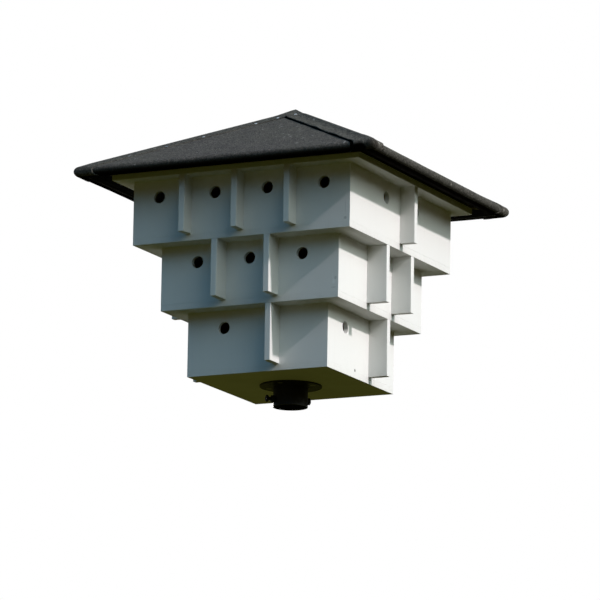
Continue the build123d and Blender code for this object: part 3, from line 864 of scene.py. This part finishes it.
class NESTBOX_OT_felts(Operator):
    """Lay the felt on the four slopes and turn it under the eaves"""

    bl_idname = "nestbox.felts"
    bl_label = "Roof felt"

    def execute(self, context):
        look = context.scene.nestbox_roof
        # The front and left sheets take the shaded copy: blackened early round the bend, lighter in tint.
        # The right and back sheets take the lit copy: darker in tint, blackened only underneath
        worn = mineral_felt(look, "felt_with_painted_shade_round_bend", FRONT_AND_LEFT_SHADE_FROM, FRONT_AND_LEFT_TINT, FELT_SCUFFS)
        right_and_back_felt = mineral_felt(look, "slate_granule_felt", UNDERSIDE_SHADE_FROM, RIGHT_AND_BACK_TINT)
        for side, finish in zip(SIDES, (worn, right_and_back_felt, right_and_back_felt, worn)):
            piece = add_piece(f"{side}_felt_sheet", felt_mesh(side, look), (finish,))
            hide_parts(f"{side}_felt")
        return {"FINISHED"}


class NESTBOX_OT_hip_strips(Operator):
    """Fold a felt strip over each hip"""

    bl_idname = "nestbox.hip_strips"
    bl_label = "Hip strips"

    def execute(self, context):
        look = context.scene.nestbox_roof
        faced = mineral_felt(look, "hip_strip_felt", UNDERSIDE_SHADE_FROM, STRIP_TINT, STRIP_SCUFFS, STRIP_PAINTED_SHADOWS)
        finishes = (faced, cut_bitumen())
        for corner in CORNERS:
            piece = add_piece(f"{corner}_hip_strip", strip_mesh(corner, look), finishes)
            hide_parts(f"{corner}_hip_cap")
        return {"FINISHED"}


class NESTBOX_OT_fastenings(Operator):
    """Give the nails and the flange's screws their zinc"""

    bl_idname = "nestbox.fastenings"
    bl_label = "Nails and screws"

    def execute(self, context):
        zinc = zinc_plate(context.scene.nestbox_steel)
        for node in ("roof_nails", "flange_screws"):
            paint_node(node, zinc)
        return {"FINISHED"}


def bead_mesh(radius, height, thickness):
    """A rippled weld bead in the corner under a plate."""
    form = bmesh.new()
    rings = []
    for turn in range(BEAD_STEPS):
        angle = 2 * math.pi * turn / BEAD_STEPS
        drift = noise.noise(Vector((math.cos(angle) * 4, math.sin(angle) * 4, 0)))
        swell = 1 + 0.12 * math.sin(angle * BEAD_RIPPLES) + 0.18 * drift
        ring = []
        for side in range(BEAD_SIDES):
            lean = 2 * math.pi * side / BEAD_SIDES
            out = radius + thickness * swell * BEAD_SQUEEZE * math.cos(lean)
            up = min(height + thickness * swell * BEAD_SQUEEZE * math.sin(lean), height + 0.2 * MM)
            ring.append(form.verts.new((out * math.cos(angle), out * math.sin(angle), up)))
        rings.append(ring)
    skin(form, [*rings, rings[0]], True)
    return smooth_mesh(form, "flange_weld")


def screw_mesh(look):
    """The clamp screw, with a cut thread and a hexagon head."""
    low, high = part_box("clamp_screw")
    axis = Vector((-1, -1, 0)).normalized()
    across = axis.cross(Vector((0, 0, 1)))
    level = Vector((0, 0, (low.z + high.z) / 2))
    spots = [vertex.co - level for vertex in NODES["clamp_screw"].data.vertices]
    tip = min(spot.dot(axis) for spot in spots)
    end = max(spot.dot(axis) for spot in spots)
    near = [spot for spot in spots if (spot - axis * spot.dot(axis)).length < HEAD_NECK]
    shoulder = max(spot.dot(axis) for spot in near if spot.dot(axis) < end - 1 * MM)
    radius = max((spot - axis * spot.dot(axis)).length for spot in near)

    def at(along, angle, out):
        return level + axis * along + (across * math.cos(angle) + Vector((0, 0, 1)) * math.sin(angle)) * out

    form = bmesh.new()
    cut = THREAD_DEPTH * look.thread_pitch
    rows = int((shoulder - tip) / look.thread_pitch * THREAD_ROWS)
    rings = []
    for row in range(rows + 1):
        along = tip + (shoulder - tip) * row / rows
        ring = []
        for column in range(THREAD_COLUMNS):
            angle = 2 * math.pi * column / THREAD_COLUMNS
            phase = ((along - tip) / look.thread_pitch - column / THREAD_COLUMNS) % 1
            depth = cut * min(1.0, THREAD_FLANK * min(phase, 1 - phase))
            worn = max(0.0, THREAD_LEAD - (along - tip)) * THREAD_FADE
            ring.append(form.verts.new(at(along, angle, radius - cut + max(depth - worn, 0))))
        rings.append(ring)
    skin(form, rings, True)
    form.faces.new(rings[0])
    form.faces.new(rings[-1])

    # The frame's head stands on a flat or on a corner
    corner = (high.z - low.z) / 2
    flats = corner if abs(corner - HEAD_FLATS / 2) < 0.2 * MM else corner * math.cos(SIXTH / 2)
    turned_up = 0 if flats == corner else SIXTH / 2
    point = flats / math.cos(SIXTH / 2)
    outline = ((shoulder, 0.93), (shoulder + 0.5 * MM, 1.0), (end - HEAD_EDGE, 1.0), (end, 0.84))
    hexes = [
        [form.verts.new(at(along, SIXTH * side + turned_up, point * share)) for side in range(6)]
        for along, share in outline
    ]
    skin(form, hexes, True)
    form.faces.new(hexes[0])
    form.faces.new(hexes[-1])
    return smooth_mesh(form, "clamp_screw_threaded")


class NESTBOX_OT_socket(Operator):
    """Paint the flange plate, the pole socket and its nuts, and lay the weld"""

    bl_idname = "nestbox.socket"
    bl_label = "Pole socket"

    def execute(self, context):
        look = context.scene.nestbox_steel
        black = black_steel(look, "black_painted_steel")
        for node, ease in STEEL_EASES:
            piece = add_piece(f"{node}_painted", eased_copy(node, ease), (black, black))
            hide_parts(node)
        bead = bead_mesh(SOCKET_RADIUS, PLATE_FOOT, look.bead)
        add_piece("flange_weld", bead, (black,))
        return {"FINISHED"}


class NESTBOX_OT_clamp_screws(Operator):
    """Cut the clamp screw's thread and paint both screws"""

    bl_idname = "nestbox.clamp_screws"
    bl_label = "Clamp screws"

    def execute(self, context):
        look = context.scene.nestbox_steel
        black = black_steel(look, "black_screw_paint")
        piece = add_piece("clamp_screw_threaded", screw_mesh(look), (black,), "clamp_screw")
        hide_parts("clamp_screw")
        paint_node("set_screw", black)
        return {"FINISHED"}


# Stage


def shine(name, kind, place, towards, energy, colour, size):
    """A lamp that points at a spot."""
    lamp = bpy.data.lights.new(name, kind)
    lamp.energy = energy
    lamp.color = colour
    if kind == "SUN":
        lamp.angle = size
    else:
        lamp.shape = "DISK"
        lamp.size = size
    holder = bpy.data.objects.new(name, lamp)
    bpy.context.scene.collection.objects.link(holder)
    holder.location = place
    holder.rotation_euler = (Vector(towards) - Vector(place)).to_track_quat("-Z", "Y").to_euler()


def studio_air(scene):
    """A white backdrop that gives a dim light: cool from above, olive from below."""
    world = bpy.data.worlds.new("studio_air")
    scene.world = world
    world.use_nodes = True
    world.node_tree.nodes.clear()
    wire = Wire(world.node_tree)
    direction = wire.node("ShaderNodeTexCoord", output="Generated")
    height = part(direction, 2)
    lamp_side = part(direction, 0).between(0.3, 0.9)
    below, level, above = (blend(lamp_side, *shades) for shades in (BELOW, LEVEL, ABOVE))
    air = blend(height.between(0.0, -0.08), level, below)
    air = blend(height.between(0.15, 0.3), air, above)
    seen = wire.node("ShaderNodeLightPath", output="Is Camera Ray")
    colour = blend(seen, air, WHITE)
    background = wire.node("ShaderNodeBackground", None, {0: colour, 1: 1.0})
    wire.node("ShaderNodeOutputWorld", None, {"Surface": background})


def floor_paint(look):
    """Pale matt paint on the floor, a little cloudy."""
    material, wire, place = start_material("pale_floor")
    clouds = grain(place, 0.7, 3.0)
    tone = blend(clouds * 0.15, tuple(look.floor), tinted(look.floor, 0.94))
    roughness = 0.8 + clouds * 0.05
    return finish_material(material, wire, tone, roughness, grain(place, 60.0), relief=0.1 * MM)


class NESTBOX_OT_stage(Operator):
    """Set the pale floor, the soft lamps and the camera"""

    bl_idname = "nestbox.stage"
    bl_label = "Floor, lamps and camera"

    def execute(self, context):
        scene = context.scene
        look = scene.nestbox_stage
        scene.view_settings.view_transform = "Standard"
        studio_air(scene)

        form = bmesh.new()
        bmesh.ops.create_circle(form, cap_ends=True, segments=FLOOR_SIDES, radius=FLOOR_RADIUS)
        floor = bpy.data.objects.new("floor", finished_mesh(form, "floor"))
        floor.location.z = look.floor_height
        floor.data.materials.append(floor_paint(look))
        floor.visible_diffuse = False
        floor.visible_glossy = False
        floor.visible_shadow = False
        scene.collection.objects.link(floor)

        level = math.cos(look.key_elevation)
        towards = Vector((
            level * math.cos(look.key_azimuth),
            -level * math.sin(look.key_azimuth),
            math.sin(look.key_elevation),
        ))
        middle = Vector((0, 0, (BOUNDS[0][2] + BOUNDS[1][2]) / 2))
        lamp = middle + towards * KEY_DISTANCE
        shine("key_lamp", "SUN", lamp, middle, look.key, KEY_COLOUR, KEY_WIDTH)
        shine("rear_fill", "AREA", FILL_PLACE, middle, FILL_POWER, FILL_COLOUR, FILL_WIDTH)

        ahead = (TARGET - EYE).normalized()
        level_right = ahead.cross(Vector((0, 0, 1))).normalized()
        level_up = level_right.cross(ahead)
        right = level_right * math.cos(CAMERA_ROLL) + level_up * math.sin(CAMERA_ROLL)
        up = level_up * math.cos(CAMERA_ROLL) - level_right * math.sin(CAMERA_ROLL)
        lens = bpy.data.cameras.new("camera")
        lens.lens = look.lens
        lens.sensor_width = SENSOR
        lens.clip_end = FAR_CLIP
        lens.dof.use_dof = False
        camera = bpy.data.objects.new("camera", lens)
        scene.collection.objects.link(camera)
        camera.matrix_world = Matrix((
            (right.x, up.x, -ahead.x, EYE.x),
            (right.y, up.y, -ahead.y, EYE.y),
            (right.z, up.z, -ahead.z, EYE.z),
            (0, 0, 0, 1),
        ))
        scene.camera = camera
        return {"FINISHED"}


STEPS = (
    NESTBOX_OT_boards,
    NESTBOX_OT_inner_boards,
    NESTBOX_OT_felts,
    NESTBOX_OT_hip_strips,
    NESTBOX_OT_fastenings,
    NESTBOX_OT_socket,
    NESTBOX_OT_clamp_screws,
    NESTBOX_OT_stage,
)
SETTINGS = {
    "nestbox_boards": BoardSettings,
    "nestbox_roof": RoofSettings,
    "nestbox_steel": SteelSettings,
    "nestbox_stage": StageSettings,
}


class NESTBOX_PT_steps(Panel):
    """Lists the nest box tower's steps and settings"""

    bl_idname = "NESTBOX_PT_steps"
    bl_label = "Nest box tower"
    bl_space_type = "VIEW_3D"
    bl_region_type = "UI"
    bl_category = "Nest box"

    def draw(self, context):
        for step in STEPS:
            self.layout.operator(step.bl_idname)
        for name, group in SETTINGS.items():
            box = self.layout.box()
            box.label(text=group.__doc__)
            for setting in group.__annotations__:
                box.prop(getattr(context.scene, name), setting)


def register():
    for kind in (*SETTINGS.values(), *STEPS, NESTBOX_PT_steps):
        bpy.utils.register_class(kind)
    for name, group in SETTINGS.items():
        setattr(bpy.types.Scene, name, PointerProperty(type=group))


def unregister():
    for name in SETTINGS:
        delattr(bpy.types.Scene, name)
    for kind in (NESTBOX_PT_steps, *reversed(STEPS), *SETTINGS.values()):
        bpy.utils.unregister_class(kind)


def main():
    register()
    bpy.ops.nestbox.boards()
    bpy.ops.nestbox.inner_boards()
    bpy.ops.nestbox.felts()
    bpy.ops.nestbox.hip_strips()
    bpy.ops.nestbox.fastenings()
    bpy.ops.nestbox.socket()
    bpy.ops.nestbox.clamp_screws()
    bpy.ops.nestbox.stage()


if __name__ == "__main__":
    main()
